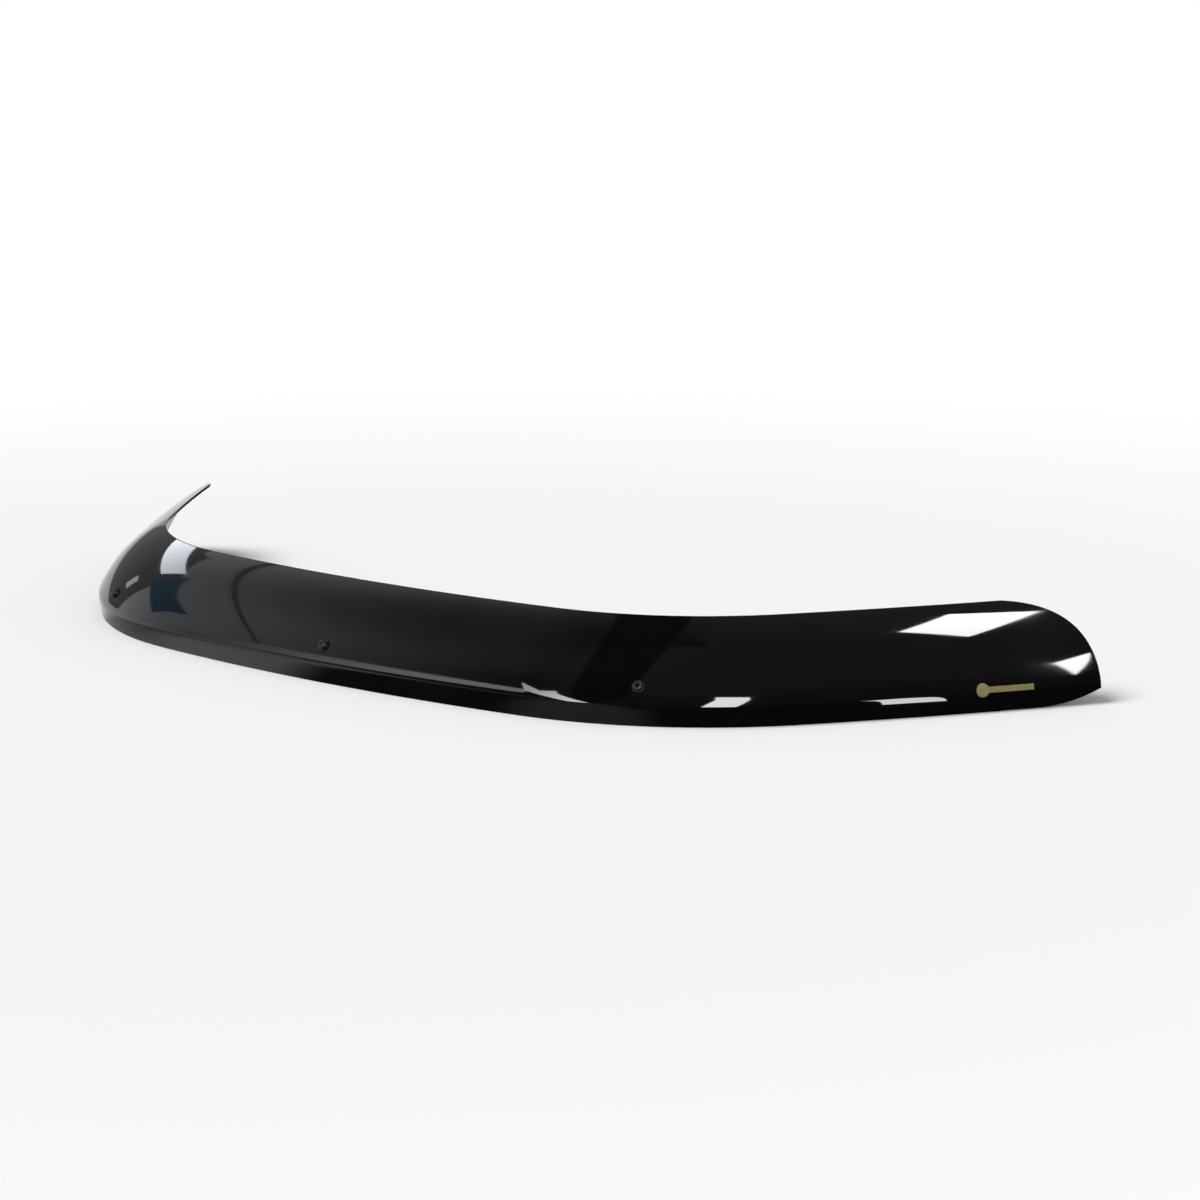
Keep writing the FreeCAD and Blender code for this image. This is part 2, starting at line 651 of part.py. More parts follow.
def make_bracket(name, place):
    body = new_body(f"{name}_bracket")
    body.setExpression("Placement", f"{ROW} * {place}")
    path = strip_path(body)
    sweep = body.newObject("PartDesign::AdditivePipe", "StripSweep")
    sweep.Profile = strip_section(body)
    sweep.Spine = (path, [])
    sweep.Mode = "Standard"
    doc.recompute()
    tail_and_top = (Vector(0, 1, 0), Vector(0, 0, 1))
    corners = corner_edges(sweep.Shape, size("strip_thick"), tail_and_top)
    round_corners(body, "StripCorners", corners, "Sizes.strip_corner")

    before = body.Tip.Shape.Volume
    leg_hole = new_sketch(body, "LegHole", "XY_Plane", on_screw(f"({ON_LEG})"))
    circle_at_origin(leg_hole, size("hole_radius"), "Sizes.hole_radius", "hole")
    leg_cut = pocket(body, "LegCut", leg_hole, "3 * Sizes.strip_thick", middle=True)
    cut_checked(body, leg_cut, before)

    before = body.Tip.Shape.Volume
    foot_hole = new_sketch(body, "FootHole", "XY_Plane", ON_FOOT)
    circle_at_origin(foot_hole, size("hole_radius"), "Sizes.hole_radius", "hole")
    foot_cut = pocket(body, "FootCut", foot_hole, "3 * Sizes.strip_thick", middle=True)
    cut_checked(body, foot_cut, before)
    return body


def make_foot_pad(name, place):
    body = new_body(f"{name}_foot_pad")
    body.setExpression("Placement", f"{ROW} * {place} * {ON_FOOT}")
    sketch = new_sketch(body, "PadOutline", "XY_Plane")
    rectangle(sketch, size("pad_width"), size("pad_length"), "Sizes.pad_width", "Sizes.pad_length")
    circle_at_origin(sketch, size("pad_hole_radius"), "Sizes.pad_hole_radius", "hole")
    pad(body, "PadBlock", sketch, "Sizes.pad_thick")
    doc.recompute()
    front_and_back = (Vector(0, 1, 0), Vector(0, -1, 0))
    corners = corner_edges(body.Tip.Shape, size("pad_thick"), front_and_back)
    chamfer_edges(body, "PadCorners", corners, "Sizes.pad_corner")
    return body


# Spacers and washers


def make_spacer(name, place):
    body = new_body(f"{name}_spacer")
    body.setExpression("Placement", f"{ROW} * {place} * {on_screw(f'({UNDER_SHIELD})')}")
    sketch = new_sketch(body, "SpacerOutline", "XY_Plane")
    rectangle(sketch, size("spacer_length"), size("spacer_width"), "Sizes.spacer_length", "Sizes.spacer_width")
    circle_at_origin(sketch, size("hole_radius"), "Sizes.hole_radius", "hole")
    pad(body, "SpacerBlock", sketch, "Sizes.spacer_thick", reverse=True)
    return body


def make_head_washer(name, place):
    body = new_body(f"{name}_head_washer")
    body.setExpression("Placement", f"{ROW} * {place} * {on_screw(f'({OVER_SHIELD})')}")
    sketch = new_sketch(body, "WasherOutline", "XY_Plane")
    circle_at_origin(sketch, size("washer_radius"), "Sizes.washer_radius", "outside")
    circle_at_origin(sketch, size("hole_radius"), "Sizes.hole_radius", "hole")
    pad(body, "WasherDisc", sketch, "Sizes.washer_thick", reverse=True)
    return body


# Screws and nuts


def hexagon(sketch, flats, alias):
    """Six sides about the origin, with this distance across them."""
    radius = flats / math.sqrt(3)
    points = [(radius * math.cos(i * math.pi / 3), radius * math.sin(i * math.pi / 3)) for i in range(6)]
    sides = [line(sketch, points[i], points[(i + 1) % 6]) for i in range(6)]
    for i in range(6):
        rule(sketch, "Coincident", sides[i], END, sides[(i + 1) % 6], START)
    for i in range(5):
        rule(sketch, "Equal", sides[i], sides[i + 1])
    ring = sketch.addGeometry(Part.Circle(Vector(0, 0, 0), Vector(0, 0, 1), radius), True)
    rule(sketch, "Coincident", ring, CENTRE, *ORIGIN)
    for side in sides:
        rule(sketch, "PointOnObject", side, START, ring)
    rule(sketch, "PointOnObject", sides[0], START, X_AXIS)
    bound(sketch, "corners", f"{alias} / sqrt(3)", "Radius", ring, radius)


def screw_profile(sketch):
    """Half section of a pan-headed screw: the head's seat is on the sketch's X axis."""
    shank = size("screw_radius")
    length = size("screw_length")
    head = size("head_radius")
    height = size("head_height")
    side = size("head_side")
    flat = size("head_flat")
    points = [(0, height), (0, -length), (shank, -length), (shank, 0), (head, 0), (head, side), (flat, height)]
    count = len(points)
    runs = [line(sketch, points[i], points[(i + 1) % count]) for i in range(count)]
    axis, tip, shank_side, seat, head_side, slope, top = runs
    for i in range(count):
        rule(sketch, "Coincident", runs[i], END, runs[(i + 1) % count], START)
    rule(sketch, "PointOnObject", axis, START, Y_AXIS)
    rule(sketch, "PointOnObject", axis, END, Y_AXIS)
    rule(sketch, "Horizontal", tip)
    rule(sketch, "Vertical", shank_side)
    rule(sketch, "PointOnObject", seat, START, X_AXIS)
    rule(sketch, "PointOnObject", seat, END, X_AXIS)
    rule(sketch, "Vertical", head_side)
    rule(sketch, "Horizontal", top)
    bound(sketch, "shank", "Sizes.screw_radius", "DistanceX", *ORIGIN, seat, START, shank)
    bound(sketch, "length", "Sizes.screw_length", "DistanceY", tip, START, *ORIGIN, length)
    bound(sketch, "head", "Sizes.head_radius", "DistanceX", *ORIGIN, seat, END, head)
    bound(sketch, "side", "Sizes.head_side", "DistanceY", head_side, START, head_side, END, side)
    bound(sketch, "height", "Sizes.head_height", "DistanceY", *ORIGIN, top, END, height)
    bound(sketch, "flat_top", "Sizes.head_flat", "DistanceX", *ORIGIN, slope, END, flat)


def make_screw(name, place):
    body = new_body(f"{name}_screw")
    seat = on_screw(f"({OVER_SHIELD})")
    body.setExpression("Placement", f"{ROW} * {place} * {seat}")
    sketch = new_sketch(body, "ScrewProfile", "XZ_Plane")
    screw_profile(sketch)
    turned = body.newObject("PartDesign::Revolution", "ScrewTurned")
    turned.Profile = sketch
    turned.ReferenceAxis = (sketch, ["V_Axis"])
    turned.Angle = 360
    doc.recompute()
    before = turned.Shape.Volume
    top = "placement(vector(0; 0; Sizes.head_height); rotation(vector(0; 0; 1); 0))"
    socket = new_sketch(body, "SocketOutline", "XY_Plane", top)
    hexagon(socket, size("socket_flats"), "Sizes.socket_flats")
    cut = pocket(body, "SocketCut", socket, "Sizes.socket_depth")
    cut_checked(body, cut, before)
    return body


def make_nut(name, place):
    """Lock nut with a collar that holds the nylon ring."""
    body = new_body(f"{name}_nut")
    body.setExpression("Placement", f"{ROW} * {place} * {on_screw(f'({UNDER_LEG})')}")
    outline = new_sketch(body, "NutOutline", "XY_Plane")
    hexagon(outline, size("nut_flats"), "Sizes.nut_flats")
    pad(body, "NutBlock", outline, "Sizes.nut_height", reverse=True)
    collar_place = "placement(vector(0; 0; -Sizes.nut_height); rotation(vector(0; 0; 1); 0))"
    collar = new_sketch(body, "CollarOutline", "XY_Plane", collar_place)
    circle_at_origin(collar, size("collar_radius"), "Sizes.collar_radius", "collar")
    pad(body, "NutCollar", collar, "Sizes.collar_height", reverse=True)
    doc.recompute()
    before = body.Tip.Shape.Volume
    bore = new_sketch(body, "NutBore", "XY_Plane")
    bore_radius = "Sizes.screw_radius + Sizes.thread_gap"
    circle_at_origin(bore, size("screw_radius") + size("thread_gap"), bore_radius, "bore")
    cut = pocket(body, "NutBoreCut", bore, "3 * Sizes.nut_height", middle=True)
    cut_checked(body, cut, before)
    return body


# Buffers


def make_buffer(name, place):
    body = new_body(f"buffer_{name}")
    depth = f"(Sizes.wall + Sizes.seat_gap + {hollow('Sizes.buffer_length', 'Sizes.buffer_width')})"
    body.setExpression("Placement", f"{ROW} * {place} * {on_panel('Sizes.buffer_rise', depth)}")
    sketch = new_sketch(body, "BufferOutline", "XY_Plane")
    rectangle(sketch, size("buffer_length"), size("buffer_width"), "Sizes.buffer_length", "Sizes.buffer_width")
    block = pad(body, "BufferBlock", sketch, "Sizes.buffer_height", reverse=True)
    doc.recompute()
    rim = [f"Edge{n}" for n, edge in enumerate(block.Shape.Edges, start=1) if edge.BoundBox.ZMax < 0]
    chamfer_edges(body, "BufferRim", rim, "Sizes.buffer_chamfer")
    return body


def make_parts():
    """Bodies of each exported part, by its name: the three washers share one."""
    parts = {"shield": [make_shield()], "head_washers": []}
    for name, place in STATIONS.items():
        parts[f"{name}_bracket"] = [make_bracket(name, place)]
        parts[f"{name}_foot_pad"] = [make_foot_pad(name, place)]
        parts[f"{name}_spacer"] = [make_spacer(name, place)]
        parts[f"{name}_screw"] = [make_screw(name, place)]
        parts[f"{name}_nut"] = [make_nut(name, place)]
        parts["head_washers"].append(make_head_washer(name, place))
    for name, place in BUFFER_STATIONS.items():
        parts[f"buffer_{name}"] = [make_buffer(name, place)]
    return parts


def check_parts(parts):
    for item in doc.Objects:
        if "Invalid" in item.State or "Error" in item.State:
            raise RuntimeError(f"{item.Label} failed: {item.State}")
    for name, bodies in parts.items():
        for body in bodies:
            shape = body.Shape
            if shape.isNull() or not shape.isValid() or len(shape.Solids) != 1:
                raise RuntimeError(f"{name}: {body.Label} is not one valid solid")


parts = make_parts()
doc.recompute()
check_parts(parts)
os.makedirs("parts", exist_ok=True)
for name, bodies in parts.items():
    shape = Part.makeCompound([body.Shape for body in bodies]) if len(bodies) > 1 else bodies[0].Shape
    shape.exportStep(f"parts/{name}.step")
    print(name, round(shape.Volume, 1))
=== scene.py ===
import json
from math import acos, atan2, cos, pi, radians, sin, sqrt

import bmesh
import bpy
from mathutils import Matrix, Vector


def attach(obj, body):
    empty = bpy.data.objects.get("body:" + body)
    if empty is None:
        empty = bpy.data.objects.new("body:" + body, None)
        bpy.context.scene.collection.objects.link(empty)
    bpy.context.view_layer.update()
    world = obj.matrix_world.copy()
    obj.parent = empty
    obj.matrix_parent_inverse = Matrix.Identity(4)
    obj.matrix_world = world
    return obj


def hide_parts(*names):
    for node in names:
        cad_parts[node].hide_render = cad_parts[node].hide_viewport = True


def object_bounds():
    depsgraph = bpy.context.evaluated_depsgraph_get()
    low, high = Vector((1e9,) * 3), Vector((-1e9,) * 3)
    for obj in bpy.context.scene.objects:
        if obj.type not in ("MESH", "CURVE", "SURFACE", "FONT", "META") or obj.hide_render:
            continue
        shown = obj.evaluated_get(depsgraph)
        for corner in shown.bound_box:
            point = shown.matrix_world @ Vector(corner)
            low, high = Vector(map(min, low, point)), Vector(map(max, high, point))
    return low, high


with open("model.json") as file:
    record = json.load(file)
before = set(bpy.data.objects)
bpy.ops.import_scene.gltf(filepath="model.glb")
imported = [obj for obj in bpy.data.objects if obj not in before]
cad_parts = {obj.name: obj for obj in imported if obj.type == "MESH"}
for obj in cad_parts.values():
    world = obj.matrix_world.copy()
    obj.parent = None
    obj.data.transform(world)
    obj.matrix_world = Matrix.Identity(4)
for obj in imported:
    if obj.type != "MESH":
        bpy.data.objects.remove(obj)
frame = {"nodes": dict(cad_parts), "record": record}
packed_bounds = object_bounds()

# Plan line of the crown bend, in metres and radians: front, shoulder and wing arcs

FRONT_RADIUS = 2.208
FRONT_TURN = radians(7.0)
SHOULDER_RADIUS = 0.368
SHOULDER_TURN = radians(45.8)
WING_RADIUS = 3.278
WING_TURN = radians(5.8)
FOOT_BACK = 0.022
FOOT_DROP = 0.0093

# Section of the shield about the centre of its crown bend

WALL = 0.003
CROWN_RADIUS = 0.0195
PANEL_RADIUS = 0.151
PANEL_LEAN = radians(62.8)
PANEL_TURN = radians(41.9)
LIP_LEAN = radians(10.3)
LIP_LENGTH = 0.0162
EDGE_ROUND = 0.0008

# Rounded wing ends

END_LENGTH = 0.106
END_OVERRUN = 0.0005
LIP_RUN = 0.070
TIP_DEPTH = 0.0033
TIP_ROUND = 0.0002

# Fixings

SIDE_HEADING = radians(27.5)
FIX_RISE = radians(5.2)
SEAT_GAP = 0.0001
WASHER_THICK = 0.0012
SCREW_RADIUS = 0.003
SCREW_LENGTH = 0.020
HEAD_RADIUS = 0.00525
HEAD_HEIGHT = 0.0033
HEAD_RIM = 0.0003
HEAD_SIDE = 0.0013
HEAD_FLAT = 0.0034
PITCH = 0.001
THREAD_DEPTH = 0.0005
THREAD_TURNS = 16
SHARP_ANGLE = radians(32)
SOCKET_SIDES = 6
SOCKET_FLATS = 0.004
SOCKET_DEPTH = 0.002
HOLE_RADIUS = 0.00325
DRILL_LENGTH = 4 * WALL

# Steps of each run and arc of the shield's section, on its outer and inner face

LIP_STEPS = 5
CROWN_STEPS = 20
PANEL_STEPS = 44
INNER_CROWN_STEPS = 14
INNER_PANEL_STEPS = 30
RIM_STEPS = 4

# Steps along the plan line: those of a wing end crowd towards the tip

FRONT_STEPS = 16
SHOULDER_STEPS = 46
WING_STEPS = 24
END_STEPS = 32
END_CROWDING = 1.6
TIP_STEPS = 2

# Steps of the turned pieces, and how near two vertices or headings count as one

ROUND_STEPS = 48
DOME_STEPS = 8
SECTION_MERGE = EDGE_ROUND / 50
MERGE = 1e-6
HEADING_MARGIN = 1e-5


def outward(heading):
    """Level direction out of the plan line at this heading."""
    return Vector((sin(heading), -cos(heading), 0))


LIP_ANGLE = pi + LIP_LEAN
BEND_START = pi / 2 + PANEL_LEAN
PANEL_END = BEND_START - PANEL_TURN
PANEL_OFFSET = PANEL_RADIUS - CROWN_RADIUS
PANEL_CENTRE = Vector((0, -PANEL_OFFSET * cos(BEND_START), -PANEL_OFFSET * sin(BEND_START)))
WING_START = FRONT_TURN + SHOULDER_TURN
TIP_HEADING = WING_START + WING_TURN
FRONT_CENTRE = Vector((0, FRONT_RADIUS, 0))
SHOULDER_CENTRE = FRONT_CENTRE + (FRONT_RADIUS - SHOULDER_RADIUS) * outward(FRONT_TURN)
WING_CENTRE = SHOULDER_CENTRE + (SHOULDER_RADIUS - WING_RADIUS) * outward(WING_START)
TO_ROW = Matrix.Translation((0, -FOOT_BACK, FOOT_DROP))
ALONG = Vector((1, 0, 0))
UP = Vector((0, 0, 1))


# Shader values with Python's arithmetic


class Value:
    """One output of a node: arithmetic on it adds Math nodes to the same material."""

    def __init__(self, tree, output):
        self.tree = tree
        self.output = output

    def maths(self, operation, *terms):
        return add_node(self.tree, "ShaderNodeMath", {"operation": operation}, dict(enumerate(terms)))[0]

    def __add__(self, other):
        return self.maths("ADD", self, other)

    def __sub__(self, other):
        return self.maths("SUBTRACT", self, other)

    def __mul__(self, other):
        return self.maths("MULTIPLY", self, other)

    def __truediv__(self, other):
        return self.maths("DIVIDE", self, other)

    def __radd__(self, other):
        return self.maths("ADD", other, self)

    def __rsub__(self, other):
        return self.maths("SUBTRACT", other, self)

    def __rmul__(self, other):
        return self.maths("MULTIPLY", other, self)

    def __rtruediv__(self, other):
        return self.maths("DIVIDE", other, self)

    def __pow__(self, other):
        return self.maths("POWER", self, other)

    def __gt__(self, other):
        return self.maths("GREATER_THAN", self, other)

    def __lt__(self, other):
        return self.maths("LESS_THAN", self, other)


def add_node(tree, kind, settings=None, inputs=None):
    """Adds a node, sets its settings, then its sockets' values or links, and gives its outputs."""
    node = tree.nodes.new(kind)
    for name, value in (settings or {}).items():
        if name == "stops":
            set_stops(node.color_ramp, value)
        else:
            setattr(node, name, value)
    for key, value in (inputs or {}).items():
        if isinstance(value, Value):
            tree.links.new(value.output, node.inputs[key])
        else:
            node.inputs[key].default_value = value
    return [Value(tree, output) for output in node.outputs]


def set_stops(ramp, stops):
    while len(ramp.elements) < len(stops):
        ramp.elements.new(1.0)
    for element, (place, colour) in zip(ramp.elements, stops):
        element.position = place
        element.color = colour


# Numbers of the sockets that are taken by number

DIRECTION, OBJECT_PLACE = 0, 3
CAMERA_RAY, GLOSSY_RAY, TRANSMITTED_RAY = 0, 3, 6
BACK_OF_FACE = 6
MIX_SHARE, FIRST_COLOUR, SECOND_COLOUR, MIXED_COLOUR = 0, 6, 7, 2


def new_material(name):
    material = bpy.data.materials.new(name)
    material.use_nodes = True
    material.node_tree.nodes.clear()
    return material, material.node_tree


def finish_material(tree, inputs):
    shader = add_node(tree, "ShaderNodeBsdfPrincipled", None, inputs)[0]
    add_node(tree, "ShaderNodeOutputMaterial", None, {"Surface": shader})


def object_place(tree):
    return add_node(tree, "ShaderNodeTexCoord")[OBJECT_PLACE]


def noise(tree, place, scale, detail=2.0, roughness=0.5):
    values = {"Vector": place, "Scale": scale, "Detail": detail, "Roughness": roughness}
    return add_node(tree, "ShaderNodeTexNoise", None, values)[0]


def ramp(tree, value, low, high):
    """0 below low, 1 above high, smooth between."""
    settings = {"interpolation_type": "SMOOTHSTEP"}
    values = {"Value": value, "From Min": low, "From Max": high}
    return add_node(tree, "ShaderNodeMapRange", settings, values)[0]


def band(tree, value, rise, fall):
    """1 between two soft edges and 0 on either side: rise and fall give each edge's ends."""
    return ramp(tree, value, *rise) - ramp(tree, value, *fall)


def blend(tree, share, first, second):
    values = {MIX_SHARE: share, FIRST_COLOUR: first, SECOND_COLOUR: second}
    return add_node(tree, "ShaderNodeMix", {"data_type": "RGBA"}, values)[MIXED_COLOUR]


def bump(tree, height, strength, distance):
    values = {"Height": height, "Strength": strength, "Distance": distance}
    return add_node(tree, "ShaderNodeBump", None, values)[0]


def split(tree, place):
    return add_node(tree, "ShaderNodeSeparateXYZ", None, {"Vector": place})


def emission(tree, colour, strength):
    return add_node(tree, "ShaderNodeEmission", None, {"Color": colour, "Strength": strength})[0]


def mix_shaders(tree, share, first, second):
    return add_node(tree, "ShaderNodeMixShader", None, {0: share, 1: first, 2: second})[0]


# Materials: the colours of each finish, and the printed mark

ACRYLIC_BLACK = (0.0018, 0.0018, 0.0020, 1)
ACRYLIC_HAZE = (0.0034, 0.0034, 0.0036, 1)
ACRYLIC_IOR = 1.49
DUST = (0.16, 0.155, 0.145, 1)
STRIP_BLACK = (0.020, 0.020, 0.022, 1)
STRIP_RUBBED = (0.20, 0.20, 0.20, 1)
RUBBER_BLACK = (0.014, 0.014, 0.014, 1)
RUBBER_BLOOM = (0.040, 0.039, 0.037, 1)
NYLON_BLACK = (0.022, 0.022, 0.023, 1)
NYLON_FLOW = (0.034, 0.034, 0.035, 1)
OXIDE_BLACK = (0.030, 0.029, 0.028, 1)
OXIDE_BROWN = (0.060, 0.057, 0.053, 1)
ZINC_BLUE = (0.52, 0.55, 0.60, 1)
ZINC_YELLOW = (0.64, 0.62, 0.54, 1)
GOLD = (0.36, 0.31, 0.14, 1)
GOLD_PLACE = Vector((0.648, 0.288, 0.0135))
GOLD_HEADING = radians(57.1)
GOLD_OUT = 0.0189
DISC_RADIUS = 0.0072
BAR_LENGTH = 0.0575
BAR_LOW = -0.0028
BAR_HIGH = 0.0034


def gold_print(tree, place):
    """1 inside the gold disc and bar printed on the outer face of the left wing's crown bend."""
    x, y, z = split(tree, place)
    from_x = x - GOLD_PLACE.x
    from_y = y - GOLD_PLACE.y
    along = from_x * cos(GOLD_HEADING) + from_y * sin(GOLD_HEADING)
    outwards = from_x * sin(GOLD_HEADING) - from_y * cos(GOLD_HEADING) + GOLD_OUT
    rise = z - FOOT_DROP
    outer_face = outwards * outwards + rise * rise > (CROWN_RADIUS - WALL / 2) ** 2
    up = z - GOLD_PLACE.z
    disc = along * along + up * up < DISC_RADIUS**2
    bar = (along > 0) * (along < BAR_LENGTH) * (up > BAR_LOW) * (up < BAR_HIGH)
    return (disc + bar > 0.5) * outer_face


def acrylic():
    """Near-black cast acrylic, polished, with a faint forming wave and a trace of dust haze."""
    material, tree = new_material("polished_acrylic")
    place = object_place(tree)
    haze = ramp(tree, noise(tree, place, scale=9.0, detail=4.0, roughness=0.6), low=0.35, high=0.75)
    dust = ramp(tree, noise(tree, place, scale=900.0, roughness=0.7), low=0.66, high=0.8)
    wave = noise(tree, place, scale=5.0, detail=1.0)
    gold = gold_print(tree, place)
    black = blend(tree, haze, ACRYLIC_BLACK, ACRYLIC_HAZE)
    dusty = blend(tree, dust * 0.03, black, DUST)
    finish_material(
        tree,
        {
            "Base Color": blend(tree, gold, dusty, GOLD),
            "Roughness": 0.035 + haze * 0.03 + dust * 0.03 + gold * 0.22,
            "Metallic": gold * 0.3,
            "IOR": ACRYLIC_IOR,
            "Normal": bump(tree, wave, strength=0.05, distance=0.002),
        },
    )
    return material


def strip_paint():
    """Satin black coat on steel strip, with a fine peel and a few rubbed specks."""
    material, tree = new_material("coated_strip")
    place = object_place(tree)
    peel = noise(tree, place, scale=700.0, detail=3.0)
    rubbed = ramp(tree, noise(tree, place, scale=160.0, detail=5.0, roughness=0.7), low=0.68, high=0.74)
    finish_material(
        tree,
        {
            "Base Color": blend(tree, rubbed * 0.6, STRIP_BLACK, STRIP_RUBBED),
            "Roughness": 0.42 + peel * 0.15,
            "Metallic": rubbed * 0.6,
            "Normal": bump(tree, peel, strength=0.15, distance=0.0002),
        },
    )
    return material


def rubber():
    """Matt black moulded rubber with a dusty bloom."""
    material, tree = new_material("moulded_rubber")
    place = object_place(tree)
    grain = noise(tree, place, scale=1600.0, detail=3.0, roughness=0.65)
    bloom = ramp(tree, noise(tree, place, scale=60.0, detail=4.0), low=0.4, high=0.8)
    finish_material(
        tree,
        {
            "Base Color": blend(tree, bloom, RUBBER_BLACK, RUBBER_BLOOM),
            "Roughness": 0.72 + bloom * 0.15,
            "Normal": bump(tree, grain, strength=0.35, distance=0.0002),
        },
    )
    return material


def nylon():
    """Black nylon spacer, slightly waxy."""
    material, tree = new_material("black_nylon")
    place = object_place(tree)
    flow = noise(tree, place, scale=240.0, detail=3.0)
    finish_material(
        tree,
        {
            "Base Color": blend(tree, flow, NYLON_BLACK, NYLON_FLOW),
            "Roughness": 0.38 + flow * 0.18,
            "Normal": bump(tree, flow, strength=0.08, distance=0.0002),
        },
    )
    return material


def dark_steel():
    """Black oxide steel, a little browned and rubbed."""
    material, tree = new_material("black_oxide_steel")
    place = object_place(tree)
    tone = noise(tree, place, scale=320.0, detail=4.0)
    rubbed = ramp(tree, noise(tree, place, scale=900.0, detail=3.0), low=0.62, high=0.72)
    finish_material(
        tree,
        {
            "Base Color": blend(tree, tone, OXIDE_BLACK, OXIDE_BROWN),
            "Roughness": 0.30 + tone * 0.2 - rubbed * 0.08,
            "Metallic": 0.85,
            "Normal": bump(tree, tone, strength=0.1, distance=0.0001),
        },
    )
    return material


def zinc():
    """Zinc plated steel with a clear, faintly blue and yellow passivation."""
    material, tree = new_material("zinc_plate")
    place = object_place(tree)
    tint = noise(tree, place, scale=110.0, detail=3.0)
    grain = noise(tree, place, scale=1500.0)
    finish_material(
        tree,
        {
            "Base Color": blend(tree, tint, ZINC_BLUE, ZINC_YELLOW),
            "Roughness": 0.26 + grain * 0.14,
            "Metallic": 1.0,
            "Normal": bump(tree, grain, strength=0.1, distance=0.0001),
        },
    )
    return material


FINISHES = {
    "shield_acrylic": acrylic(),
    "bracket_steel": strip_paint(),
    "pad_rubber": rubber(),
    "spacer_nylon": nylon(),
    "dark_steel": dark_steel(),
    "bright_steel": zinc(),
}

for subpart in frame["record"]["subparts"]:
    mesh = frame["nodes"][subpart["node"]].data
    mesh.materials.clear()
    mesh.materials.append(FINISHES[subpart["material_slot"]])


# Making pieces


def new_mesh(name, bm):
    """Turns a finished bmesh into a mesh."""
    mesh = bpy.data.meshes.new(name)
    bm.to_mesh(mesh)
    bm.free()
    return mesh


def new_object(name, data):
    """Adds an object with this data to the scene."""
    item = bpy.data.objects.new(name, data)
    bpy.context.scene.collection.objects.link(item)
    return item


def new_piece(name, bm, slot, node):
    """Turns a finished bmesh into a piece that stands for a node of the frame."""
    mesh = new_mesh(name, bm)
    mesh.materials.append(FINISHES[slot])
    mesh.shade_smooth()
    piece = new_object(name, mesh)
    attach(piece, "root")
    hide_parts(node)
    return piece


def keep_flats_flat(piece):
    """Weights a smooth mesh's normals by face, so that flats next to small rounds stay flat."""
    weighted = piece.modifiers.new("weighted", "WEIGHTED_NORMAL")
    weighted.mode = "FACE_AREA"
    weighted.keep_sharp = True


def mark_sharp(piece):
    """Keeps a turned piece's corners crisp and its rounds smooth."""
    bm = bmesh.new()
    bm.from_mesh(piece.data)
    for edge in bm.edges:
        edge.smooth = len(edge.link_faces) == 2 and edge.calc_face_angle() < SHARP_ANGLE
    bm.to_mesh(piece.data)
    bm.free()


def cut_away(piece, bm):
    """Cuts a bmesh out of a piece, and applies the cut to the piece's mesh."""
    cutter = new_object("cutter", new_mesh("cutter", bm))
    cut = piece.modifiers.new("cut", "BOOLEAN")
    cut.operation = "DIFFERENCE"
    cut.object = cutter
    cut.solver = "EXACT"
    bpy.context.view_layer.update()
    evaluated = piece.evaluated_get(bpy.context.evaluated_depsgraph_get())
    finished = bpy.data.meshes.new_from_object(evaluated)
    piece.modifiers.remove(cut)
    piece.data = finished
    bpy.data.objects.remove(cutter)


def add_rod(bm, sides, radius, length, middle):
    """Adds a closed rod along z: round with many sides, a prism with few."""
    bmesh.ops.create_cone(
        bm, cap_ends=True, segments=sides, radius1=radius, radius2=radius, depth=length, matrix=middle
    )


def run_straight(bm, start, step, count):
    """Draws a line of edges from a vertex, and gives its last vertex."""
    made = bmesh.ops.spin(
        bm, geom=[start], cent=(0, 0, 0), axis=ALONG, dvec=step, angle=0, steps=count
    )
    return made["geom_last"][0]


def run_round(bm, start, centre, angle, count):
    """Draws an arc of edges about a centre in the section's plane, and gives its last vertex."""
    made = bmesh.ops.spin(bm, geom=[start], cent=centre, axis=ALONG, angle=angle, steps=count)
    return made["geom_last"][0]


# Shield


def draw_section(bm):
    """Closed loop of the shield's section in the middle plane: outer face, rims and inner face."""
    down = Vector((0, -sin(LIP_ANGLE), cos(LIP_ANGLE)))
    across = Vector((0, cos(LIP_ANGLE), sin(LIP_ANGLE)))
    flat = WALL - 2 * EDGE_ROUND
    outer = bm.verts.new(CROWN_RADIUS * across + LIP_LENGTH * down)
    end = run_straight(bm, outer, -down * LIP_LENGTH / LIP_STEPS, LIP_STEPS)
    end = run_round(bm, end, (0, 0, 0), -(LIP_ANGLE - BEND_START), CROWN_STEPS)
    end = run_round(bm, end, PANEL_CENTRE, -PANEL_TURN, PANEL_STEPS)
    out = Vector((0, cos(PANEL_END), sin(PANEL_END)))
    onward = Vector((0, sin(PANEL_END), -cos(PANEL_END)))
    end = run_round(bm, end, end.co - out * EDGE_ROUND, -pi / 2, RIM_STEPS)
    end = run_straight(bm, end, -out * flat, 1)
    end = run_round(bm, end, end.co - onward * EDGE_ROUND, -pi / 2, RIM_STEPS)
    end = run_round(bm, end, PANEL_CENTRE, PANEL_TURN, INNER_PANEL_STEPS)
    end = run_round(bm, end, (0, 0, 0), LIP_ANGLE - BEND_START, INNER_CROWN_STEPS)
    end = run_straight(bm, end, down * LIP_LENGTH / LIP_STEPS, LIP_STEPS)
    end = run_round(bm, end, end.co + across * EDGE_ROUND, -pi / 2, RIM_STEPS)
    end = run_straight(bm, end, across * flat, 1)
    run_round(bm, end, end.co - down * EDGE_ROUND, -pi / 2, RIM_STEPS)
    bmesh.ops.remove_doubles(bm, verts=bm.verts, dist=SECTION_MERGE)
    return list(bm.edges)


